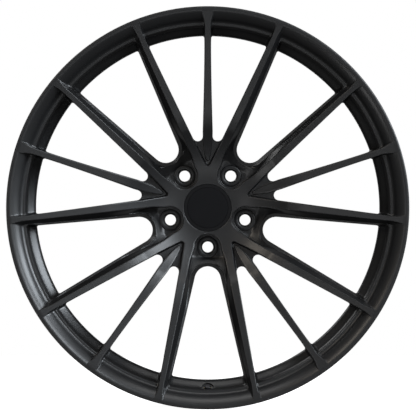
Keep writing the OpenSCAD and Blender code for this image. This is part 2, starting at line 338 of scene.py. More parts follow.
@dataclass
class WheelSurfaces:
    """Heights of the forging's surfaces, and angles off the group's axis of its walls."""

    rim: RimSection = field(default_factory=RimSection)
    plan: SpokePlan = field(default_factory=SpokePlan)
    pad: HubPad = field(default_factory=HubPad)
    cap_r: float = 34.1
    cap_seat_h: float = 38.9
    throat_r: float = 30.2
    spigot_r: float = 33.3
    spigot_h: float = 12.0
    spoke_drop: float = 5.6
    spoke_slope: float = 0.167
    dip_h: float = 3.35
    dip_r: float = 150.0
    knuckle_r: float = 112.7
    knuckle_w: float = 4.0
    dish_r: float = 183.0
    dish_c: Plane = (20.06, 225.36)
    ledge_depth: float = 14.0

    def front(self, r: float) -> float:
        """Reads the front face: a bowl inside the knuckle, spokes outside it.

        Args:
            r: Radius.

        Returns:
            The face's height.
        """
        rim = self.rim
        if r > rim.well_r:
            return rim.front_h - self.spoke_drop * max(rim.lip_r - r, 0) / (rim.lip_r - rim.well_r)
        dip = max(self.dip_r - r, 0) / (self.dip_r - self.knuckle_r)
        spoke = rim.front_h - self.spoke_drop - self.spoke_slope * (rim.well_r - r) - self.dip_h * dip**2
        if r > self.knuckle_r + self.knuckle_w:
            return spoke
        dish = self.dish_c[1] - math.sqrt(self.dish_r**2 - (r - self.dish_c[0]) ** 2)
        return mix(dish, spoke, smooth(self.knuckle_r - self.knuckle_w, self.knuckle_r + self.knuckle_w, r))

    def back(self, r: float) -> float:
        """Reads the back of the disc.

        Args:
            r: Radius.

        Returns:
            The back's height.
        """
        low = self.rim.front_h - self.rim.back_drop
        return through([(self.pad.edge_r, 0), (88, 8), (110, 26), (150, 43), (200, 50.5), (228, 49.5),
                        (241, low + 0.6), (242, low)], r)

    def floor(self, r: float) -> float:
        """Reads the floor of the lug pocket and of the ledge that runs on from it.

        Args:
            r: Radius.

        Returns:
            The floor's height.
        """
        rim, start = self.rim, 140
        if r > start:
            near = rim.ledge_drop - (rim.front_h - self.front(rim.ledge_in_r))
            return self.front(r) - mix(self.ledge_depth, near, smooth(225, rim.ledge_in_r, r))
        return through([(72, 18), (86, 26), (112, 47.5), (start, self.front(start) - self.ledge_depth)], r)

    def channel(self, r: float) -> float:
        """Returns the height of the channel's floor round the root of the middle spoke."""
        return through([(60, 39.6), (70, 41.5), (103, 46)], r)

    def narrow_split(self, r: float) -> float:
        """Reads the line that splits a narrow window's wall in two.

        Args:
            r: Radius.

        Returns:
            The line's height.
        """
        if r < 103:
            return self.channel(r)
        return through([(103, 46), (150, 54), (215, 60), (232, 57), (240.5, self.well_edge())], r)

    def wide_split(self, r: float) -> float:
        """Returns the height of the line that splits a wide window's wall in two."""
        line = [(83, 13), (100, 28), (112, 38), (140, 51), (200, 59), (232, 57), (240.5, self.well_edge())]
        return through(line, r)

    def well_edge(self) -> float:
        """Returns the height of the well's front edge."""
        return self.rim.front_h - self.rim.well_drop

    def mid_edge(self, r: float) -> float:
        """Reads the middle spoke's plan.

        Args:
            r: Radius.

        Returns:
            Half the spoke's width along its front edge.
        """
        plan = self.plan
        width = plan.mid_tip_w + plan.mid_base_w * (max(240 - r, 0) / 140) ** 1.5
        if r < 108:
            return min(width, through([(67.8, 0.0), (68.1, 0.9), (69.0, 1.7), (84, 5.0), (100, 6.35),
                                       (108, 6.6)], r))
        widening = plan.lip_half_w - width
        return width + min(2 * widening * smooth(258, 290, r), widening)

    def mid_wall(self, r: float, h: float) -> float:
        """Returns the angle of the middle spoke's side."""
        return math.asin((self.mid_edge(r) + self.plan.draft * (self.front(r) - h)) / r)

    def lip_share(self, start: float, past: float, r: float) -> float:
        """Returns how far a spoke's edge has turned into its root at the lip, from 0 to 1."""
        return smooth(start, self.rim.lip_r + past, r) if r < self.rim.lip_r else 1

    def inner_wall(self, r: float, h: float) -> float:
        """Reads an outer spoke's inner side.

        Args:
            r: Radius.
            h: Height.

        Returns:
            The wall's angle off the group's axis.
        """
        plan = self.plan
        straight = math.radians(plan.inner_a) - math.asin(plan.inner_d / r)
        edge = mix(straight, math.radians(plan.lip_inner_a), self.lip_share(258, 4, r))
        return edge - plan.draft * (self.front(r) - h) / r

    def outer_edge(self, r: float) -> float:
        """Reads an outer spoke's outer edge on its front face.

        Args:
            r: Radius.

        Returns:
            The edge's angle off the group's axis.
        """
        plan = self.plan
        straight = math.radians(plan.axis_a) - math.asin((plan.front_d + 0.5 * smooth(240, 262, r)) / r)
        return mix(straight, math.radians(plan.lip_outer_a), self.lip_share(260, 3, r))

    def outer_wall(self, r: float, h: float) -> float:
        """Reads the sloped wall between an outer spoke's front face and its ledge.

        Args:
            r: Radius.
            h: Height.

        Returns:
            The wall's angle off the group's axis.
        """
        foot = through([(88, 8.2), (105, 5.4), (123, 3.2), (140, 2.3), (160, 2.6), (240, 4.6), (262, 4.9)], r)
        depth = self.front(r) - self.floor(min(r, self.rim.ledge_in_r)) + 0.01
        return self.outer_edge(r) + (self.plan.front_d - foot) / depth * max(self.front(r) - h, 0) / r

    def window_wall(self, r: float, h: float) -> float:
        """Reads the wide window's side, below the ledge.

        Args:
            r: Radius.
            h: Height.

        Returns:
            The wall's angle off the group's axis.
        """
        plan = self.plan
        flare = plan.window_draft * (1 + 4 * (1 - smooth(104, 150, r)))
        return math.radians(plan.outer_a) + math.asin(plan.outer_d / r) - flare * (h - self.back(r)) / r


@dataclass
class HalfSector(WheelSurfaces):
    """Mesh of half a spoke group, from its middle spoke's centre line to the middle of the wide window.

    Row numbers count points from the hub outwards. Neighbouring sheets share their edge points.
    """

    bm: bmesh.types.BMesh = field(default_factory=bmesh.new)
    mid_cols: int = 3
    narrow_cols: int = 20
    face_cols: int = 7
    wide_cols: int = 12
    arc_cols: int = 8
    ring_cols: int = 24
    deep: int = 3
    low: int = 2
    run: int = 22
    root_rows: int = 17
    mouth_row: int = 19
    apex_row: int = 14
    knee_row: int = 36
    free_row: int = 38
    back_line: dict[str, list[Plane]] = field(default_factory=dict)
    fillet_d: tuple[float, ...] = (0.0, 0.5, 1.2, 2.2, 3.4, 4.8)
    seat: tuple[Plane, ...] = ((15.6, 18.0), (15.4, 16.8), (14.8, 16.7), (14.5, 17.7), (10.4, 17.6),
                               (9.6, 17.2), (7.8, 13.2), (7.8, 1.2), (8.4, 0.0))

    def sheet(self, rows: Rows) -> None:
        """Lays a grid of faces through rows of points.

        Args:
            rows: Rows of equal length.
        """
        count, cols = len(rows) - 1, len(rows[0]) - 1
        made = bmesh.ops.create_grid(self.bm, x_segments=cols, y_segments=count, size=0.5)["verts"]
        for vert in made:
            i, j = round((vert.co.y + 0.5) * count), round((vert.co.x + 0.5) * cols)
            x, y = flat(*rows[i][j])
            vert.co = Vector((x, -rows[i][j][2], y)) * MM

    def ribbon(self, left: list[Plane], right: list[Plane], cols: int) -> None:
        """Lays a strip of the front face between two rails of radius and angle.

        Args:
            left: The strip's first rail.
            right: The strip's other rail, with as many points.
            cols: Number of faces across.
        """
        self.sheet([drape(row, self.front) for row in across(level(left), level(right), cols)])

    def wall(self, top: list[Plane], foot: list[Plane], cols: int, side: Side) -> None:
        """Lays a wall between two lines that are given as radius and height.

        Args:
            top: The wall's upper line.
            foot: The wall's lower line, with as many points.
            cols: Number of faces from top to foot.
            side: Angle of the wall at a radius and a height.
        """
        lines = [[between(p, q, t) for t in spread(0, 1, cols)] for p, q in zip(top, foot)]
        self.sheet([[(r, side(r, h), h) for r, h in line] for line in lines])

    # Floors of the bays between the spokes

    def bay_feet(self, deep: float, shallow: float) -> list[tuple[Plane, Plane, float]]:
        """Works out the bay's floor with the size of its corner fillets.

        Args:
            deep: Fillet radius wanted below the ledge.
            shallow: Fillet radius wanted from the lip to the ledge.

        Returns:
            For each row, the floor's point, its normal into the bay and the fillet's radius.
        """
        rim, bay, out = self.rim, self.rim.bay(), []
        for j, (r, h) in enumerate(bay):
            want = shallow if j <= rim.ledge_row() else deep
            run = (Vector(bay[min(j + 1, rim.last_row())]) - Vector(bay[max(j - 1, 0)])).normalized()
            normal = (-1.0, 0.0) if j in (rim.ledge_row(), rim.last_row()) else (run.y, -run.x)
            out.append(((r, h), normal, min(want, 0.45 * (self.front(r) - h))))
        for t in spread(0, 1, self.low)[1:]:
            at = (rim.well_r, rim.front_h - mix(rim.well_drop, rim.back_drop, t))
            out.append((at, (-1.0, 0.0), mix(out[rim.last_row()][2], 2.4, t)))
        return out

    @staticmethod
    def raised(foot: tuple[Plane, Plane, float], d: float) -> Plane:
        """Reads the floor near a wall, fillet included.

        Args:
            foot: The floor's point, normal and fillet radius.
            d: Distance from the wall.

        Returns:
            The floor's radius and height there.
        """
        (r, h), (nr, nh), size = foot
        lift = size - math.sqrt(size**2 - (size - d) ** 2) if d < size else 0.0
        return r + nr * lift, h + nh * lift

    def fillet(self, foot: tuple[Plane, Plane, float], side: Side, way: float = 1.0) -> list[Polar]:
        """Draws one row's fillet at the foot of a wall.

        Args:
            foot: The floor's point, normal and fillet radius.
            side: The wall's angle at a radius and a height.
            way: 1 when the floor lies at greater angles than the wall, -1 when at smaller ones.

        Returns:
            Points from the wall out onto the floor.
        """
        spots = [(d, *self.raised(foot, d)) for d in self.fillet_d]
        return [(r, side(r, h) + way * d / r, h) for d, r, h in spots]

    def narrow_bay(self) -> Rows:
        """Builds the bay and barrel wall seen through a narrow window.

        Returns:
            Rows from the lip to the back of the disc.
        """
        rows = []
        for foot in self.bay_feet(4.4, 3.0):
            left, right = self.fillet(foot, self.mid_wall), self.fillet(foot, self.inner_wall, -1.0)
            r, h = left[-1][0], left[-1][2]
            angles = spread(left[-1][1], right[-1][1], self.narrow_cols - 2 * (len(left) - 1))[1:-1]
            rows.append(left + [(r, a, h) for a in angles] + right[::-1])
        return rows

    def to_middle(self, row: list[Polar]) -> list[Polar]:
        """Carries a row on to the middle of the wide window.

        Args:
            row: Points from the window's side.

        Returns:
            The row with the points of its even stretch added.
        """
        r, start, h = row[-1]
        angles = spread(start, HALF_SECTOR, self.wide_cols - len(self.fillet_d) + 1)[1:]
        return row + [(r, a, h) for a in angles]

    def wide_low_bay(self) -> Rows:
        """Returns the rows of the wall, ramp and barrel seen through a wide window, from the ledge down."""
        feet = self.bay_feet(4.6, 4.6)[self.rim.ledge_row():]
        return [self.to_middle(self.fillet(foot, self.window_wall)) for foot in feet]

    def wide_high_bay(self) -> Rows:
        """Builds the scoop and ledge in front of a wide window.

        Returns:
            Rows from the lip to the ledge's inner edge, where the low bay begins.
        """
        last = self.rim.ledge_row()
        *feet, (edge, _, _) = self.bay_feet(4.6, 3.2)[: last + 1]
        gap = (self.window_wall(*edge) - self.outer_wall(*edge)) * edge[0]
        rows = []
        for j, (point, normal, size) in enumerate(feet):
            foot = (point, normal, size * (0.6 if j == last - 1 else 1))
            spots = [(d, *self.raised(foot, d)) for d in [0.0, gap / 2] + [gap + d for d in self.fillet_d]]
            rows.append(self.to_middle([(r, self.outer_wall(r, h) + d / r, h) for d, r, h in spots]))
        corner = (edge[0], self.outer_wall(*edge), edge[1])
        return rows + [[corner, between(corner, self.wide_low[0][0], 0.5)] + self.wide_low[0]]

    # Lines in plan

    def knee_s(self) -> float:
        """Returns the station at which an outer spoke's front edge crosses the knuckle."""
        return math.sqrt(self.knuckle_r**2 - self.plan.front_d**2)

    def shape_rails(self) -> None:
        """Lays out the rails along an outer spoke, one point to a row, from the cap to the lip."""
        plan, cap_r, well = self.plan, self.cap_r, self.rim.well_r
        left = [(r, 0.0) for r in [cap_r, 35.3, 36.4] + spread(36.4, plan.apex_r, 12)[1:]]
        left += [polar(3 * t, plan.apex_r + 1.7 * t * t) for t in spread(0, 1, 3)[1:]]
        right = [(cap_r, HALF_SECTOR), (35.4, HALF_SECTOR)]
        right += [plan.pocket_ring(plan.pocket_r, t) for t in plan.pocket_turns()]
        for s in plan.stations():
            share = (s - plan.pocket_s) / (plan.fork_s - plan.pocket_s)
            left.append(polar(*between((3, 61.2), plan.fork, share)))
            right.append(plan.beside_axis(s, 2.35 * (1 - smooth(plan.pocket_s, 80, s)) - plan.front_d))
        right += [plan.beside_axis(s, -plan.front_d) for s in spread(plan.fork_s, self.knee_s(), 5)[1:]]
        right += [(r, self.outer_edge(r)) for r in spread(self.knuckle_r, plan.free_r, 2)[1:]]
        free = flat(plan.free_r, self.inner_wall(plan.free_r, self.front(plan.free_r)))
        bend = between(plan.fork, free, 0.79)
        knee = between((0, 0), bend, self.knuckle_r / math.hypot(*bend))
        left += [polar(*between(plan.fork, knee, t)) for t in spread(0, 1, 5)[1:]]
        left += [polar(*between(knee, free, t)) for t in (0.5, 1)]
        for r in spread(plan.free_r, well, self.run)[1:] + self.rim.bay_radii()[1:]:
            left.append((r, self.inner_wall(r, self.front(r))))
            right.append((r, self.outer_edge(r)))
        self.left, self.right = left, right
        self.well_row = self.free_row + self.run

    def shape_channel(self) -> None:
        """Lays out the foot of the channel's outer wall, which fades out on the outer spoke's side."""
        start_r, free_r = math.hypot(*self.plan.narrow_end), self.left[self.free_row][0]
        rail = [polar(1.9 * t, 62.7 + 1.2 * t * t) for t in spread(0, 1, 3)]
        share = [(r - 61.3) / (94.4 - 61.3) for r, _ in self.left[18:32]]
        rail = drape(rail + [polar(*between((1.9, 63.9), (17.0, 92.2), t)) for t in share], self.channel)
        base = self.channel(start_r)
        end = (start_r, self.inner_wall(start_r, base), base)
        rail += [between(rail[-1], end, t) for t in (0.5, 1)]
        for t, r in zip(spread(0, 1, 5)[1:], spread(start_r, free_r, 5)[1:]):
            h = mix(base, self.front(r), t**1.6)
            rail.append((r, self.inner_wall(r, h), h))
        self.rail = rail

    def bend_row(self, start: Polar, end: Polar, centre: Plane, height: Height) -> list[Polar]:
        """Draws an arc in plan, turning from x to y.

        Args:
            start: First point.
            end: Last point.
            centre: Centre of the arc, as x and y.
            height: Height at a radius.

        Returns:
            The row of points, ends included.
        """
        ends = [Vector(flat(*p)) - Vector(centre) for p in (start, end)]
        a0, a1 = (math.atan2(v.y, v.x) for v in ends)
        while a1 < a0:
            a1 += math.tau
        row = []
        for t in spread(0, 1, self.arc_cols)[1:-1]:
            a, size = mix(a0, a1, t), mix(ends[0].length, ends[1].length, t)
            row.append(polar(centre[0] + size * math.cos(a), centre[1] + size * math.sin(a)))
        return [start] + drape(row, height) + [end]

    def narrow_arc(self, height: Height) -> list[Polar]:
        """Draws the bottom of the narrow window.

        Args:
            height: Height at a radius.

        Returns:
            The row of points from the middle spoke to the outer one.
        """
        r0, r1 = self.plan.narrow_r, math.hypot(*self.plan.narrow_end)
        start = (r0, self.mid_wall(r0, height(r0)), height(r0))
        end = (r1, self.inner_wall(r1, height(r1)), height(r1))
        return self.bend_row(start, end, self.plan.narrow_c, height)

    def wide_arc(self, height: Height) -> list[Polar]:
        """Draws the bottom of the wide window.

        Args:
            height: Height at a radius.

        Returns:
            The row of points from the window's side to its middle.
        """
        r0 = self.plan.wide_r
        start = (r0, self.window_wall(r0, height(r0)), height(r0))
        centre = flat(self.plan.wide_c, HALF_SECTOR)
        r1 = self.plan.wide_c - (Vector(flat(*start)) - Vector(centre)).length
        return self.bend_row(start, (r1, HALF_SECTOR, height(r1)), centre, height)

    @staticmethod
    def ramp(first: Height, second: Height, t: float) -> Height:
        """Returns the surface a share t of the way from one surface to another."""
        return lambda r: mix(first(r), second(r), t)

    # The parts of half a sector

    def lay_faces(self) -> None:
        """Lays the front faces: dish and outer spoke as one strip, and half of the middle spoke."""
        self.ribbon(self.left, self.right, self.face_cols)
        root = [67.8 + 25.2 * t**1.4 for t in spread(0, 1, self.root_rows)]
        outer = spread(self.plan.narrow_r, self.rim.well_r, self.run) + self.rim.bay_radii()[1:]
        self.mid_r = root + [97.6] + outer
        edge = [(r, self.mid_wall(r, self.front(r))) for r in self.mid_r]
        self.ribbon([(r, 0.0) for r in self.mid_r], edge, self.mid_cols)

    def lay_channel(self) -> None:
        """Lays the channel round the root of the middle spoke, with its two walls."""
        base, mouth, count = [], self.mouth_row, self.root_rows + 1
        for i, r in enumerate(self.mid_r[: mouth + 1]):
            near = r - max(1.0 - i / 3, 0)
            extra = mix(0.9, self.plan.draft * (self.front(r) - self.channel(r)), smooth(0, 1, i / mouth))
            width = 0.0 if i == 0 else self.mid_edge(r) + extra
            base.append((near, math.asin(width / near), self.channel(near)))
        top = [(r, self.mid_wall(r, self.front(r)), self.front(r)) for r in self.mid_r[: mouth + 1]]
        self.sheet(across(top, base, self.deep))
        floor = [drape(row, self.channel) for row in across(base[:count], self.rail[:count], self.arc_cols)]
        self.sheet(floor)
        curve = self.narrow_arc(self.channel)
        inner = [between(p, q, 0.5) for p, q in zip(floor[-1], curve)][1:-1]
        self.sheet([floor[-1], [base[count], *inner, self.rail[count]], curve])
        brim = drape(self.left[self.apex_row: self.free_row + 1], self.front)
        self.sheet(across(brim, self.rail, self.deep))

    def lay_narrow_window(self) -> None:
        """Lays the walls of a narrow window and of the bay in front of it."""
        bay, last = self.bay, self.rim.last_row()
        self.sheet(bay)
        self.sheet([self.narrow_arc(self.ramp(self.channel, self.back, t)) for t in spread(0, 1, self.low)])
        foot, bay_top = column(bay[: last + 1])[::-1], trace(self.rim.bay_radii(), self.front)
        mid_top = trace(self.mid_r[self.mouth_row: self.mouth_row + self.run + 1], self.front)
        rail = self.rail[self.mouth_row:]
        inner_top = [(r, h) for r, _, h in rail]
        inner_top += trace([r for r, _ in self.left[self.free_row + 1: self.well_row + 1]], self.front)
        sides = (("mid", self.mid_wall, [self.plan.narrow_r], mid_top),
                 ("inner", self.inner_wall, [p[0] for p in rail], inner_top))
        for name, side, first, top in sides:
            split, back = (trace(first + spread(first[-1], end, self.run)[1:], height) for height, end in
                           ((self.narrow_split, bay[last][0][0]), (self.back, bay[-1][0][0])))
            self.back_line[name] = [(r, side(r, h)) for r, h in back]
            self.wall(top, split, self.deep, side)
            self.wall(split, back, self.low, side)
            self.wall(bay_top, foot, self.deep, side)

    def lay_pocket(self) -> None:
        """Lays the lug pocket's wall and the spoke's sloped side, the pocket's floor and the lug seat."""
        plan = self.plan
        foot = [plan.pocket_ring(plan.pocket_r - 0.7, t) for t in plan.pocket_turns()]
        inset = [(plan.pocket_s, 6.79), (75, 7.9), (88.5, 8.19), (112.3, 4.35)]
        stations = plan.stations() + spread(plan.fork_s, self.knee_s(), 5)[1:-1]
        foot += [plan.beside_axis(s, -through(inset, s)) for s in stations]
        beyond = self.right[self.knee_row: self.well_row + 1]
        foot += [(r, self.outer_wall(r, self.floor(r))) for r, _ in beyond]
        self.foot = drape(foot, self.floor)
        self.sheet(across(drape(self.right[2: self.well_row + 1], self.front), self.foot, self.deep))
        rim, radii = self.rim, self.rim.bay_radii()
        bay_foot = trace(radii[: rim.last_row() - rim.ledge_row()], self.floor) + column(self.wide_high[::-1])
        self.wall(trace(radii, self.front), bay_foot, self.deep, self.outer_wall)
        turns = spread(0, 180, self.ring_cols)
        ring = [plan.pocket_ring(self.seat[0][0], t) for t in turns]
        rows = across(level(self.foot[: self.ring_cols + 1]), level(ring), 2)
        self.sheet([drape(row, self.floor) for row in rows])
        self.sheet([[(*plan.pocket_ring(size, t), h) for t in turns] for size, h in self.seat])

    def lay_ledge(self) -> None:
        """Lays the floor from the lug seat to the wide window, then the ledge beside the spoke."""
        rim, radii = self.rim, self.rim.bay_radii()
        curve = self.wide_arc(self.floor)[::-1]
        seat_r = self.plan.lug_r + self.seat[0][0]
        line = [(seat_r, HALF_SECTOR), (mix(seat_r, curve[0][0], 0.5), HALF_SECTOR)]
        line += [(r, a) for r, a, _ in curve]
        for r in spread(curve[-1][0], rim.well_r, self.run + 2)[1:]:
            line.append((r, self.window_wall(r, self.floor(r))))
        rows = [drape(row, self.floor) for row in across(level(self.foot[self.ring_cols:]), level(line), 2)]
        self.brink = column(rows[self.arc_cols + 2:], -1)
        self.bay_brink = [self.brink[-1]]
        turn_row = rim.last_row() - rim.ledge_row()
        for k, r in enumerate(radii[1: turn_row + 1], 1):
            r_in, h = mix(rim.well_r, self.wide_low[0][0][0], k / turn_row), self.floor(r)
            rows += across([(r, self.outer_wall(r, h), h)], [(r_in, self.window_wall(r_in, h), h)], 2)
            self.bay_brink.append((r_in, h))
        self.sheet(rows)

    def lay_wide_window(self) -> None:
        """Lays the wide window's side below the ledge, its bottom and the bay in front of it."""
        low, turn_row = self.wide_low, self.rim.last_row() - self.rim.ledge_row()
        start = self.brink[0][0]
        split = trace(spread(start, low[turn_row][0][0], self.run + 2), self.wide_split)
        back = trace(spread(start, low[-1][0][0], self.run + 2), self.back)
        self.back_line["outer"] = [(r, self.window_wall(r, h)) for r, h in back]
        self.wall(self.brink, split, self.deep, self.window_wall)
        self.wall(split, back, self.low, self.window_wall)
        self.wall(self.bay_brink, column(low[: turn_row + 1])[::-1], self.deep, self.window_wall)
        levels = [self.ramp(self.floor, self.wide_split, t) for t in spread(0, 1, self.deep)]
        levels += [self.ramp(self.wide_split, self.back, t) for t in spread(0, 1, self.low)[1:]]
        self.sheet([self.wide_arc(height) for height in levels])
        self.sheet(self.wide_high)
        self.sheet(low)

    def lay_pad(self) -> None:
        """Lays the hub's pad with its weight pockets."""
        pad, angles = self.pad, self.pad.angles()
        over, land = angles[: pad.pocket_cols + 1], angles[pad.pocket_cols:]
        in_r, out_r = pad.pocket_in_r, pad.pocket_out_r
        deep_in, deep_out = in_r + pad.draft, out_r - pad.draft
        self.sheet([[(r, a, 0.0) for a in angles] for r in spread(pad.bore_r, in_r, 2)])
        top = [(r, pad.pocket_a) for r in spread(in_r, out_r, pad.side_cols)]
        path = [(in_r, a) for a in land[::-1]] + top[1:] + [(out_r, a) for a in land[1:]]
        hole = [self.plan.pocket_ring(self.seat[-1][0], t) for t in spread(0, 180, self.ring_cols)]
        self.sheet(across(level(hole), level(path), 3))
        down = [(r, pad.pocket_a * pad.taper) for r in spread(deep_in, deep_out, pad.side_cols)]
        self.sheet(across(level(top), level(down, pad.pocket_h), 2))
        for outer, inner in ((in_r, deep_in), (out_r, deep_out)):
            brim = [(outer, a, 0.0) for a in over]
            self.sheet(across(brim, [(inner, a * pad.taper, pad.pocket_h) for a in over], 2))
        self.sheet([[(r, a * pad.taper, pad.pocket_h) for a in over]
                    for r in spread(deep_in, deep_out, pad.side_cols)])
        cols = (self.mid_cols, self.arc_cols, self.face_cols + 2, self.arc_cols)
        stops, ring = (0, 5.2, 13.2, 25, 36), [0.0]
        for count, a0, a1 in zip(cols, stops, stops[1:]):
            ring += [math.radians(a) for a in spread(a0, a1, count)[1:]]
        self.sheet(across([(out_r, a, 0.0) for a in angles], [(pad.edge_r, a, 0.0) for a in ring], 2))
        self.lay_spoke_backs([(pad.edge_r, a, 0.0) for a in ring], cols)

    def slope(self, rows: Rows) -> None:
        """Lays rows at the height of the disc's back."""
        self.sheet([drape(row, self.back) for row in rows])

    def lay_spoke_backs(self, ring: list[Polar], cols: tuple[int, ...]) -> None:
        """Lays the backs of the spokes and the slope that leads to them from the hub's pad.

        Args:
            ring: Points round the pad's edge.
            cols: Faces under the middle spoke, narrow window, outer spoke and wide window.
        """
        mid, inner, outer = (self.back_line[name] for name in ("mid", "inner", "outer"))
        steps, extra, (first, second, third, _) = 4, 3, cols
        head = across([(mid[0][0], 0.0, 0.0)], level(mid[:1]), first)[0]
        self.slope(along(ring[: first + 1], head, steps))
        under = along(ring[first: first + second + 1], self.narrow_arc(self.back), steps)
        self.slope(under)
        far = along(ring[first + second + third:], self.wide_arc(self.back), steps + extra)
        self.slope(far)
        left = [row[-1] for row in under] + level(inner[1: extra + 1])
        self.slope(across(left, [row[0] for row in far], third))
        self.well_line = []
        centre = [(r, 0.0) for r, _ in mid]
        for line, other, count, start in ((centre, mid, first, 0), (inner[extra:], outer, third, 1)):
            rows = across(level(line), level(other), count)
            rows[-1] = [(self.rim.well_r if start <= k < count else r, a, 0.0)
                        for k, (r, a, _) in enumerate(rows[-1])]
            self.slope(rows)
            self.well_line.append(drape(rows[-1], self.back))

    def lay_bore(self) -> None:
        """Lays the front and back parts of the hub's bore, which are bridged once the wheel is whole."""
        cap_r, seat_h, throat, spigot = self.cap_r, self.cap_seat_h, self.throat_r, self.spigot_r
        front = [(cap_r, self.front(cap_r)), (cap_r, seat_h), (throat + 0.5, seat_h), (throat, seat_h - 0.5),
                 (throat, 30.0)]
        back = [(self.pad.bore_r, 0.0), (spigot, 1.0), (spigot, self.spigot_h), (throat, self.spigot_h),
                (throat, 20.0)]
        ring = spread(0, HALF_SECTOR, self.face_cols)
        for line, angles in ((front, ring), (back, self.pad.angles())):
            self.sheet([[(r, a, h) for a in angles] for r, h in line])

    def lay_barrel(self) -> None:
        """Lays the rim from the lip round the tyre side to the inside of the well."""
        lip_r, top = self.rim.lip_r, self.rim.front_h
        lip = [(lip_r, a, top) for a in spread(0, self.mid_wall(lip_r, top), self.mid_cols)]
        lip += self.bay[0][1:]
        lip += [(lip_r, a, top) for a in spread(self.left[-1][1], self.right[-1][1], self.face_cols)[1:]]
        lip += self.wide_high[0][1:]
        well = self.well_line[0] + self.bay[-1][1:] + self.well_line[1][1:] + self.wide_low[-1][1:]
        section = self.rim.barrel()
        count = len(section)
        rows = [lip]
        for k, (r, h) in enumerate(section, 1):
            fade = {count: 0.4, count - 1: 0.05}.get(k, 0.0)
            rows.append([(r - (self.rim.well_r - q[0]) * fade, mix(p[1], q[1], k / (count + 1)), h)
                         for p, q in zip(lip, well)])
        self.sheet(rows + [well])

    def build(self) -> bmesh.types.BMesh:
        """Lays all parts of the half sector.

        Returns:
            Their mesh, whose sheets still have separate edges.
        """
        self.shape_rails()
        self.lay_faces()
        self.shape_channel()
        self.lay_channel()
        self.bay, self.wide_low = self.narrow_bay(), self.wide_low_bay()
        self.wide_high = self.wide_high_bay()
        self.lay_narrow_window()
        self.lay_pocket()
        self.lay_ledge()
        self.lay_wide_window()
        self.lay_pad()
        self.lay_bore()
        self.lay_barrel()
        return self.bm


class Body(Enum):
    """Bodies of the model that pieces ride on."""

    WHEEL = "wheel"
    CAP = "centre_cap"
    CORE_PIN = "valve_core_pin"
    CAP_LIFT = "valve_cap_lift"
    VALVE_CAP = "valve_cap"


class Grain(Enum):
    """Directions of a finish's fine relief, as its stretch along X, Y and Z."""

    EVEN = (1.0, 1.0, 1.0)
    DRAWN = (1.0, 0.08, 1.0)
    TURNED = (0.06, 1.0, 1.0)


def feed(tree: bpy.types.NodeTree, socket: bpy.types.NodeSocket, value: Any) -> None:
    """Links a signal to a socket, or sets a value on it.

    Args:
        tree: The tree that both are in.
        socket: The socket to feed.
        value: A signal, or a value of the socket's kind.
    """
    if isinstance(value, Signal):
        tree.links.new(value.socket, socket)
    else:
        socket.default_value = value


class Signal:
    """A shader socket that takes part in arithmetic."""

    def __init__(self, tree: bpy.types.NodeTree, socket: bpy.types.NodeSocket) -> None:
        """Keeps the socket and the tree it is in."""
        self.tree, self.socket = tree, socket

    def join(self, operation: str, first: Any, second: Any) -> "Signal":
        """Adds one maths node.

        Args:
            operation: The node's operation.
            first: Its first value or signal.
            second: Its second value or signal.

        Returns:
            The node's result.
        """
        node = self.tree.nodes.new("ShaderNodeMath")
        node.operation = operation
        for socket, value in zip(node.inputs, (first, second)):
            feed(self.tree, socket, value)
        return Signal(self.tree, node.outputs[0])

    def __add__(self, other: Any) -> "Signal":
        """Adds."""
        return self.join("ADD", self, other)

    def __radd__(self, other: Any) -> "Signal":
        """Adds from the right."""
        return self.join("ADD", other, self)

    def __sub__(self, other: Any) -> "Signal":
        """Subtracts."""
        return self.join("SUBTRACT", self, other)

    def __rsub__(self, other: Any) -> "Signal":
        """Subtracts from a value."""
        return self.join("SUBTRACT", other, self)

    def __mul__(self, other: Any) -> "Signal":
        """Multiplies."""
        return self.join("MULTIPLY", self, other)

    def __rmul__(self, other: Any) -> "Signal":
        """Multiplies from the right."""
        return self.join("MULTIPLY", other, self)


class Shader:
    """A material's node tree, with one principled surface."""

    def __init__(self, name: str) -> None:
        """Starts a material.

        Args:
            name: The material's name.
        """
        self.material = bpy.data.materials.new(name)
        self.material.use_nodes = True
        self.tree = self.material.node_tree
        self.surface = next(n for n in self.tree.nodes if n.type == "BSDF_PRINCIPLED")

    def node(self, kind: str, settings: dict[str, Any], output: str | int, **values: Any) -> Signal:
        """Adds one node.

        Args:
            kind: The node's type.
            settings: Attributes set before its sockets.
            output: Name or number of the output wanted.
            values: Input name with _ for a space, or _ and its number, to a value or a signal.

        Returns:
            The output as a signal.
        """
        made = self.tree.nodes.new(kind)
        for key, value in settings.items():
            setattr(made, key, value)
        for key, value in values.items():
            spot = int(key[1:]) if key[1:].isdigit() else key.replace("_", " ")
            feed(self.tree, made.inputs[spot], value)
        return Signal(self.tree, made.outputs[output])

    def set(self, **values: Any) -> None:
        """Feeds sockets of the surface by name."""
        for key, value in values.items():
            feed(self.tree, self.surface.inputs[key.replace("_", " ")], value)


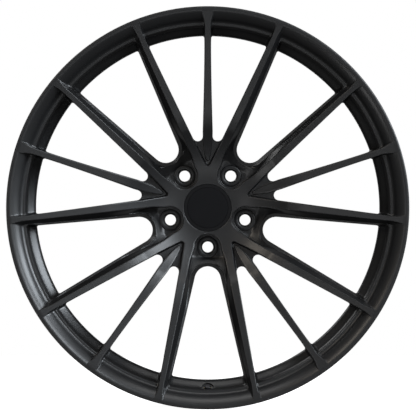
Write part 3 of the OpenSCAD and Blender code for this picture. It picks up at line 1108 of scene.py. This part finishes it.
@dataclass(frozen=True)
class Finish:
    """A surface finish: tone and shade are the ends of its mottle, and lengths are in metres."""

    name: str
    slot: str
    tone: tuple[float, float, float]
    shade: tuple[float, float, float]
    roughness: float
    uneven: float = 0.08
    metallic: float = 0.0
    coat: float = 0.0
    coat_roughness: float = 0.2
    specular: float = 0.5
    relief: float = 0.1
    size: float = 0.0006
    mottle: float = 0.025
    grain: Grain = Grain.EVEN

    def material(self) -> bpy.types.Material:
        """Returns the finish's material, made on first use."""
        return bpy.data.materials.get(self.name) or self.make()

    def make(self) -> bpy.types.Material:
        """Builds the material: a broad mottle in colour and roughness, and a fine relief.

        Returns:
            The new material.
        """
        shader = Shader(self.name)
        place = shader.node("ShaderNodeTexCoord", {}, "Object")
        laid = shader.node("ShaderNodeVectorMath", {"operation": "MULTIPLY"}, 0, _0=place,
                           _1=self.grain.value)
        broad = shader.node("ShaderNodeTexNoise", {}, 0, Vector=place, Scale=1 / self.mottle, Detail=3.0,
                            Roughness=0.6)
        fine = shader.node("ShaderNodeTexNoise", {}, 0, Vector=laid, Scale=1 / self.size, Detail=2.0)
        color = shader.node("ShaderNodeMix", {"data_type": "RGBA"}, 2, _0=broad * 0.7 + fine * 0.3,
                            _6=(*self.tone, 1.0), _7=(*self.shade, 1.0))
        rough = (broad - 0.5) * self.uneven + (fine - 0.5) * self.uneven + self.roughness
        bump = shader.node("ShaderNodeBump", {}, 0, Height=fine, Strength=self.relief,
                           Distance=self.size * 0.4)
        shader.set(Base_Color=color, Roughness=rough, Normal=bump, Metallic=self.metallic,
                   Coat_Weight=self.coat, Coat_Roughness=self.coat_roughness,
                   Specular_IOR_Level=self.specular)
        return shader.material


SATIN_BLACK = Finish("satin_black_paint", "satin_black", (0.0065, 0.0066, 0.007), (0.01, 0.0101, 0.0108),
                     0.4, coat=0.35, coat_roughness=0.22, relief=0.01, size=0.0015)
CAP_BLACK = Finish("cap_black_plastic", "cap_black", (0.005, 0.005, 0.0055), (0.008, 0.008, 0.0088),
                   0.6, specular=0.14, relief=0.1, size=0.0003)
INLAY_BLACK = Finish("inlay_black_lacquer", "inlay_black", (0.005, 0.005, 0.0058), (0.0075, 0.0075, 0.0088),
                     0.65, specular=0.12, relief=0.05, size=0.0004)
SPRING_STEEL = Finish("drawn_spring_steel", "spring_steel", (0.5, 0.5, 0.52), (0.62, 0.62, 0.64), 0.3,
                      metallic=1.0, grain=Grain.DRAWN, size=0.0002)
FOAM = Finish("foam_tape", "foam_pad", (0.72, 0.72, 0.68), (0.84, 0.84, 0.8), 0.9, relief=0.6, size=0.0004)
BRASS = Finish("turned_brass", "valve_brass", (0.7, 0.55, 0.3), (0.8, 0.66, 0.4), 0.28, metallic=1.0,
               grain=Grain.TURNED, size=0.0002)
RUBBER = Finish("black_rubber", "black_rubber", (0.014, 0.014, 0.014), (0.024, 0.024, 0.024), 0.75,
                relief=0.35, size=0.0003)
ZINC = Finish("zinc_plate", "zinc_steel", (0.07, 0.07, 0.072), (0.11, 0.11, 0.115), 0.5, metallic=0.8,
              size=0.0003)
NUT_BLACK = Finish("black_anodised", "nut_black", (0.02, 0.02, 0.022), (0.034, 0.034, 0.037), 0.36,
                   metallic=0.6, grain=Grain.TURNED, size=0.0002)
RED_SEAL = Finish("red_seal", "red_seal", (0.45, 0.07, 0.045), (0.6, 0.11, 0.07), 0.6, size=0.0002)
VALVE_CAP_BLACK = Finish("valve_cap_anodised", "valve_cap_black", (0.018, 0.018, 0.02), (0.03, 0.03, 0.033),
                         0.34, metallic=0.6, grain=Grain.TURNED, size=0.0002)


def make_object(name: str, bm: bmesh.types.BMesh) -> bpy.types.Object:
    """Turns a mesh into an object of the scene.

    Args:
        name: Name of the object and of its mesh.
        bm: The mesh in the wheel's frame, which is freed.

    Returns:
        The new object.
    """
    mesh = bpy.data.meshes.new(name)
    bm.to_mesh(mesh)
    bm.free()
    made = bpy.data.objects.new(name, mesh)
    bpy.context.scene.collection.objects.link(made)
    return made


def place_piece(name: str, bm: bmesh.types.BMesh, finish: Finish, body: Body, nodes: list[str],
                sharp: float = 32.0) -> bpy.types.Object:
    """Makes a piece of the object from a mesh.

    Args:
        name: The piece's name.
        bm: Its mesh in the wheel's frame.
        finish: Its finish.
        body: The body it rides on.
        nodes: CAD nodes that it stands for.
        sharp: Angle in degrees above which an edge shades sharp.

    Returns:
        The new object.
    """
    bmesh.ops.recalc_face_normals(bm, faces=bm.faces[:])
    for face in bm.faces:
        face.smooth = True
    for edge in bm.edges:
        edge.smooth = edge.calc_face_angle(0.0) < math.radians(sharp)
    piece = make_object(name, bm)
    piece.data.materials.append(finish.material())
    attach(piece, body.value)
    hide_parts(*nodes)
    LOG.info("%s: %d faces, rides on %s, stands for %s", name, len(piece.data.polygons),
             body.value, ", ".join(nodes))
    return piece


def dress_node(name: str, finish: Finish) -> None:
    """Gives a CAD node that keeps its own mesh its finish.

    Args:
        name: The node's name.
        finish: The finish it takes.
    """
    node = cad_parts[name]
    node.data.materials.clear()
    node.data.materials.append(finish.material())
    LOG.info("%s: shown as packed, in %s", name, finish.name)


def reshape(bm: bmesh.types.BMesh, low: float, high: float, reach: Callable[[float, float], float]) -> None:
    """Draws the points of a lathed mesh in towards its axis, Z.

    Args:
        bm: The mesh.
        low: Height in millimetres above which points move.
        high: Height in millimetres below which points move.
        reach: Radius in millimetres of a point, from its radius and its angle round the axis.
    """
    for vert in bm.verts:
        r = math.hypot(vert.co.x, vert.co.y) / MM
        if r > 0 and low < vert.co.z / MM < high:
            scale = reach(r, math.atan2(vert.co.y, vert.co.x)) / r
            vert.co.x *= scale
            vert.co.y *= scale


def lathe(profile: list[Plane], segments: int) -> bmesh.types.BMesh:
    """Spins a profile round Z.

    Args:
        profile: Points as radius and height in millimetres, in order along the outline.
        segments: Faces round the turn.

    Returns:
        The turned mesh, closed where the profile ends on the axis.
    """
    bm = bmesh.new()
    verts = [bm.verts.new((r * MM, 0, z * MM)) for r, z in profile]
    edges = [bm.edges.new(pair) for pair in zip(verts, verts[1:])]
    bmesh.ops.spin(bm, geom=verts + edges, cent=(0, 0, 0), axis=(0, 0, 1), dvec=(0, 0, 0),
                   angle=2 * math.pi, steps=segments, use_merge=True)
    bmesh.ops.remove_doubles(bm, verts=bm.verts[:], dist=1e-6)
    bmesh.ops.recalc_face_normals(bm, faces=bm.faces[:])
    return bm


@dataclass
class Valve:
    """Clamp-in valve in the rim's drop, along its own slanted axis."""

    seat: tuple[float, float, float] = (0.0, -58.855, -258.101)
    axis: tuple[float, float, float] = (0.0, -0.788011, 0.615661)
    seat_cut: tuple[Plane, ...] = ((0, -9), (5.75, -9), (5.75, -0.3), (6.0, 0), (9, 0), (9, 3.6), (9.6, 5),
                                   (0, 5))
    flutes: int = 16
    flute_depth: float = 0.32
    grip: Plane = (3.8, 6.75)
    grip_r: float = 4.3
    nut_r: float = 7.2
    nut_h: Plane = (0.6, 2.8)

    def lean(self, bm: bmesh.types.BMesh) -> bmesh.types.BMesh:
        """Carries a mesh into the valve's place.

        Args:
            bm: The mesh, made along Z from the seat.

        Returns:
            The same mesh.
        """
        up = Vector(self.axis).normalized()
        side = Vector((1, 0, 0))
        matrix = Matrix((side, up.cross(side), up)).transposed().to_4x4()
        matrix.translation = Vector(self.seat) * MM
        bm.transform(matrix)
        return bm

    def cap(self) -> bmesh.types.BMesh:
        """Builds the screw cap: a thin shell with a domed top and grip flutes round its side.

        Returns:
            The cap along Z, open at the foot.
        """
        profile = [(0, 7.4), (2.6, 7.36), (3.7, 7.15), (4.35, 6.7), (4.55, 6.2), (4.55, 6.1), (4.55, 3.9),
                   (4.6, 3.75), (4.75, 3.6), (4.75, 3.2), (4.65, 3.1), (4.05, 3.1), (4.0, 3.2), (4.0, 6.3),
                   (3.6, 6.5), (0, 6.5)]
        bm = lathe(profile, self.flutes * 8)

        def flute(r: float, turn: float) -> float:
            """Returns the radius of the cap's side, drawn in at the flutes."""
            wave = 0.5 - 0.5 * math.cos(self.flutes * turn)
            return r - self.flute_depth * wave**3 if r > self.grip_r else r

        reshape(bm, *self.grip, flute)
        return bm

    def nut(self) -> bmesh.types.BMesh:
        """Builds the hexagonal nut: a chamfered prism, bored through.

        Returns:
            The nut along Z.
        """
        foot, top = self.nut_h
        bm = lathe([(4.05, foot), (7.05, foot), (self.nut_r, 0.75), (self.nut_r, 2.3), (6.4, top), (4.3, top),
                    (4.05, 2.6), (4.05, foot)], 96)
        flat_r = self.nut_r * math.cos(math.pi / 6)
        reshape(bm, -1, top + 1, lambda r, turn: min(r, flat_r / math.cos(math.remainder(turn, math.pi / 3))))
        return bm

    def build(self) -> None:
        """Builds the valve's visible pieces in detail and dresses the rest."""
        washer = [(4.1, 0.0), (7.45, 0.0), (7.6, 0.12), (7.6, 0.48), (7.45, 0.6), (4.25, 0.6), (4.1, 0.45),
                  (4.1, 0.0)]
        place_piece("valve_screw_cap", self.lean(self.cap()), VALVE_CAP_BLACK, Body.VALVE_CAP,
                    ["valve_cap_shell"])
        place_piece("valve_hex_nut", self.lean(self.nut()), NUT_BLACK, Body.WHEEL, ["valve_nut"])
        place_piece("valve_flat_washer", self.lean(lathe(washer, 96)), ZINC, Body.WHEEL, ["valve_washer"])
        for name, finish in (("valve_stem", BRASS), ("valve_grommet", RUBBER), ("core_plug", BRASS),
                             ("core_barrel", BRASS), ("core_barrel_seal", RED_SEAL),
                             ("core_spring", SPRING_STEEL), ("core_pin", BRASS),
                             ("core_cup_seal", RUBBER), ("valve_cap_liner", RUBBER)):
            dress_node(name, finish)


@dataclass
class WheelForging:
    """The forging as one visible piece: its mesh, the valve's seat and the eased edges."""

    valve: Valve = field(default_factory=Valve)
    edge_r: float = 0.45
    sharp: float = 30.0
    room: float = 1.3
    shortest: float = 0.3
    merge: float = 1e-5
    sliver: float = 2e-6

    def lay_whole(self) -> bmesh.types.BMesh:
        """Builds the closed mesh of the whole wheel.

        Returns:
            The half sector mirrored, spun to all five groups, joined and closed at the cap's bore.
        """
        bm = HalfSector().build()
        bmesh.ops.mirror(bm, geom=bm.verts[:] + bm.edges[:] + bm.faces[:], matrix=Matrix.Identity(4),
                         merge_dist=self.merge, axis="X")
        turn = 2 * math.pi / SECTORS
        bmesh.ops.spin(bm, geom=bm.verts[:] + bm.edges[:] + bm.faces[:], cent=(0, 0, 0), axis=(0, 1, 0),
                       dvec=(0, 0, 0), angle=turn * (SECTORS - 1), steps=SECTORS - 1, use_duplicate=True)
        bmesh.ops.remove_doubles(bm, verts=bm.verts[:], dist=self.merge)
        bmesh.ops.dissolve_degenerate(bm, dist=self.sliver, edges=bm.edges[:])
        bmesh.ops.bridge_loops(bm, edges=[e for e in bm.edges if e.is_boundary])
        bmesh.ops.recalc_face_normals(bm, faces=bm.faces[:])
        return bm

    def ease(self, bm: bmesh.types.BMesh) -> None:
        """Rounds the machined edges that have room for it.

        Args:
            bm: The closed wheel.
        """
        limit, size = math.radians(self.sharp), self.edge_r * MM
        chosen = {e for e in bm.edges if e.is_manifold and e.calc_face_angle(0.0) > limit}

        def roomy(vert: bmesh.types.BMVert) -> bool:
            """Says whether the edges that leave a rounded line at a vertex are long enough."""
            return all(e in chosen or e.calc_length() > self.room * size for e in vert.link_edges)

        shortest = self.shortest * size
        long = [e for e in bm.edges if e in chosen and e.calc_length() > shortest]
        kept = [e for e in long if all(roomy(v) for v in e.verts)]
        bmesh.ops.bevel(bm, geom=kept, offset=size, offset_type="OFFSET", affect="EDGES", segments=2,
                        profile=0.5, material=-1, clamp_overlap=False, loop_slide=True)
        LOG.info("edges eased: %d of %d", len(kept), len(chosen))

    def build(self) -> None:
        """Builds the wheel and dresses it."""
        bm = self.lay_whole()
        open_edges = sum(1 for e in bm.edges if not e.is_manifold)
        LOG.info("forging: %d faces, %d open edges", len(bm.faces), open_edges)
        self.ease(bm)
        self.cut_seat(place_piece("forged_wheel", bm, SATIN_BLACK, Body.WHEEL, ["wheel_forging"]))

    def cut_seat(self, wheel: bpy.types.Object) -> None:
        """Sinks the valve's flat seat and hole into the rim's drop.

        Args:
            wheel: The wheel's object, whose mesh is replaced by the cut one.
        """
        cutter = make_object("valve_seat_cutter", self.valve.lean(lathe(self.valve.seat_cut, 64)))
        change = wheel.modifiers.new("seat", "BOOLEAN")
        change.operation, change.solver, change.object = "DIFFERENCE", "EXACT", cutter
        bpy.context.view_layer.update()
        graph = bpy.context.evaluated_depsgraph_get()
        result = bpy.data.meshes.new_from_object(wheel.evaluated_get(graph))
        wheel.modifiers.clear()
        wheel.data = result
        bpy.data.objects.remove(cutter)
        LOG.info("valve seat cut: %d faces", len(result.polygons))


@dataclass
class CentreCap:
    """Snap-in cap of the hub: a plain disc with a thin raised rim and a satin inlay."""

    inlay_r: float = 29.2
    inlay_h: float = 42.7
    inlay_t: float = 0.7

    def build(self) -> None:
        """Builds the inlay and dresses the rest."""
        top, r, foot = self.inlay_h, self.inlay_r, self.inlay_h - self.inlay_t
        disc = lathe([(0, top - 0.02), (r - 6, top), (r - 1.2, top), (r - 0.5, top - 0.08),
                      (r - 0.12, top - 0.4), (r - 0.1, foot), (r - 6, foot), (0, foot)], 128)
        disc.transform(Matrix.Rotation(math.radians(90), 4, "X"))
        place_piece("cap_inlay_disc", disc, INLAY_BLACK, Body.CAP, ["cap_inlay"])
        dress_node("cap_shell", CAP_BLACK)
        dress_node("cap_spring_ring", SPRING_STEEL)
        dress_node("cap_adhesive_pad", FOAM)


@dataclass
class Studio:
    """Pale floor and surroundings, soft lights and the camera.

    The floor, camera and aim are in millimetres. A lamp is its name, its place and size in metres, its
    power in watts and its colour.
    """

    floor_z: float = -286.5
    floor_w: float = 8000.0
    floor_glow: float = 0.97
    ambient: float = 0.09
    distance: float = 11585.0
    lens: float = 700.0
    sensor: float = 36.0
    aim: Plane = (0.4, -0.3)
    lamps: tuple[tuple[Any, ...], ...] = (
        ("key_right", (1.9, -2.8, 1.4), (1.4, 1.4), 60, (0.88, 0.94, 1.0)),
        ("side_right", (3.0, -0.95, 1.1), (1.5, 1.1), 80, (0.86, 0.93, 1.0)),
        ("warm_left", (-1.9, -2.6, 1.7), (1.1, 1.1), 15, (1.0, 0.9, 0.78)),
        ("top_strip", (0.0, -1.3, 2.8), (2.6, 1.2), 20, (1.0, 1.0, 1.0)),
        ("low_left", (-2.0, -2.2, -1.4), (1.0, 0.8), 6, (1.0, 1.0, 1.0)),
        ("front_low", (0.0, -4.6, -1.8), (2.4, 0.9), 9, (0.96, 0.98, 1.0)),
        ("front_left", (-1.7, -4.6, 0.3), (0.9, 1.8), 7, (0.98, 0.98, 1.0)),
        ("front_right", (1.7, -4.6, 0.3), (0.9, 1.8), 6, (0.96, 0.98, 1.0)),
        ("back_high", (-2.4, 2.2, 2.6), (2.0, 2.0), 26, (1.0, 1.0, 1.0)),
    )

    def lay_floor(self) -> None:
        """Lays the pale floor, which is seen but neither lights the wheel nor shows in it."""
        bm = bmesh.new()
        bmesh.ops.create_grid(bm, x_segments=1, y_segments=1, size=0.5 * self.floor_w * MM)
        bm.transform(Matrix.Translation((0, 0, self.floor_z * MM)))
        floor, shader = make_object("studio_floor", bm), Shader("studio_floor")
        shader.set(Base_Color=(0.9, 0.9, 0.9, 1.0), Roughness=0.9, Emission_Color=(1.0, 1.0, 1.0, 1.0),
                   Emission_Strength=self.floor_glow)
        floor.data.materials.append(shader.material)
        floor.visible_glossy = floor.visible_diffuse = floor.visible_shadow = False

    def lamp(self, name: str, place: tuple[float, float, float], size: tuple[float, float], power: float,
             color: tuple[float, float, float]) -> None:
        """Hangs one softbox that faces the wheel's centre.

        Args:
            name: The lamp's name.
            place: Where it hangs, in metres.
            size: Its width and height in metres.
            power: Its power in watts.
            color: Its colour.
        """
        data = bpy.data.lights.new(name, "AREA")
        data.shape, data.size, data.size_y = "RECTANGLE", *size
        data.energy, data.color = power, color
        lamp = bpy.data.objects.new(name, data)
        lamp.location = place
        lamp.rotation_euler = (-Vector(place)).to_track_quat("-Z", "Y").to_euler()
        bpy.context.scene.collection.objects.link(lamp)

    def air(self) -> None:
        """Makes the surroundings: white where seen, and dim as a light."""
        world = bpy.data.worlds.new("studio_air")
        world.use_nodes = True
        tree = world.node_tree
        back = tree.nodes["Background"]
        back.inputs["Color"].default_value = (1.0, 1.0, 1.0, 1.0)
        path = tree.nodes.new("ShaderNodeLightPath")
        seen = Signal(tree, path.outputs["Is Camera Ray"])
        tree.links.new((seen * (1.0 - self.ambient) + self.ambient).socket, back.inputs["Strength"])
        bpy.context.scene.world = world

    def build(self) -> None:
        """Sets the floor, lights, surroundings and camera."""
        self.lay_floor()
        for lamp in self.lamps:
            self.lamp(*lamp)
        self.air()
        bpy.context.scene.view_settings.view_transform = "Standard"
        data = bpy.data.cameras.new("studio_camera")
        data.lens, data.sensor_width = self.lens, self.sensor
        data.clip_end = 100
        camera = bpy.data.objects.new("studio_camera", data)
        camera.location = (self.aim[0] * MM, -self.distance * MM, self.aim[1] * MM)
        camera.rotation_euler = (math.radians(90), 0, 0)
        bpy.context.scene.collection.objects.link(camera)
        bpy.context.scene.camera = camera


def main() -> None:
    """Builds the wheel, its cap, its valve and the studio."""
    logging.basicConfig(level=logging.INFO, format="%(message)s")
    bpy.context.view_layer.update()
    for part in (WheelForging(), CentreCap(), Valve(), Studio()):
        part.build()
        LOG.info("%s built", type(part).__name__)
    bpy.context.view_layer.update()


if __name__ == "__main__":
    main()
